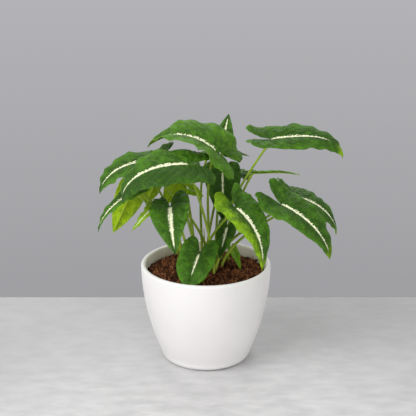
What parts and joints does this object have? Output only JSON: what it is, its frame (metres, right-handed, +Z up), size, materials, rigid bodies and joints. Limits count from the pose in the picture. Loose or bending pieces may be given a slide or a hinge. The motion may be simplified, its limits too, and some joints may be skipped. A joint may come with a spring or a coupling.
{
  "type": "potted syngonium",
  "caption": "Round tapered pot of soil with a bushy plant of arching, arrow-shaped leaves on thin stalks; stands on its flat foot.",
  "frame": {"origin": "centre of the pot's flat foot, on the surface it stands on", "axes": "+Z up along the pot's axis, -Y towards the front of the plant, +X to the right seen from the front"},
  "size_m": [0.2566, 0.1998, 0.2593],
  "materials": {
    "glaze": "satin",
    "soil": "matt, fibrous",
    "leaf": "satin, pale midrib",
    "stalk": "satin"
  },
  "bodies": {
    "root": {"pot": "glaze", "soil": "soil", "leaf_top_front": "leaf", "leaf_left_front": "leaf", "leaf_far_left": "leaf", "leaf_left_low": "leaf", "leaf_left_underside": "leaf", "leaf_left_small": "leaf", "leaf_front_left": "leaf", "leaf_front_low": "leaf", "leaf_front_right": "leaf", "leaf_right_front": "leaf", "leaf_right_back": "leaf", "leaf_top_right": "leaf", "leaf_top_back": "leaf", "leaf_top_right_back": "leaf", "leaf_right_level": "leaf", "leaf_centre_back": "leaf", "leaf_low_right": "leaf", "leaf_hanging_small": "leaf", "leaf_left_behind": "leaf", "leaf_centre_young": "leaf", "leaf_left_inner": "leaf", "leaf_back_middle": "leaf", "leaf_back_right": "leaf", "leaf_back_left": "leaf", "stalk_top_front": "stalk", "stalk_left_front": "stalk", "stalk_far_left": "stalk", "stalk_left_low": "stalk", "stalk_left_underside": "stalk", "stalk_left_small": "stalk", "stalk_front_left": "stalk", "stalk_front_low": "stalk", "stalk_front_right": "stalk", "stalk_right_front": "stalk", "stalk_right_back": "stalk", "stalk_top_right": "stalk", "stalk_top_back": "stalk", "stalk_top_right_back": "stalk", "stalk_right_level": "stalk", "stalk_centre_back": "stalk", "stalk_low_right": "stalk", "stalk_hanging_small": "stalk", "stalk_left_behind": "stalk", "stalk_centre_young": "stalk", "stalk_left_inner": "stalk", "stalk_back_middle": "stalk", "stalk_back_right": "stalk", "stalk_back_left": "stalk", "furled_leaf": "stalk", "new_shoot": "stalk"}
  },
  "joints": []
}
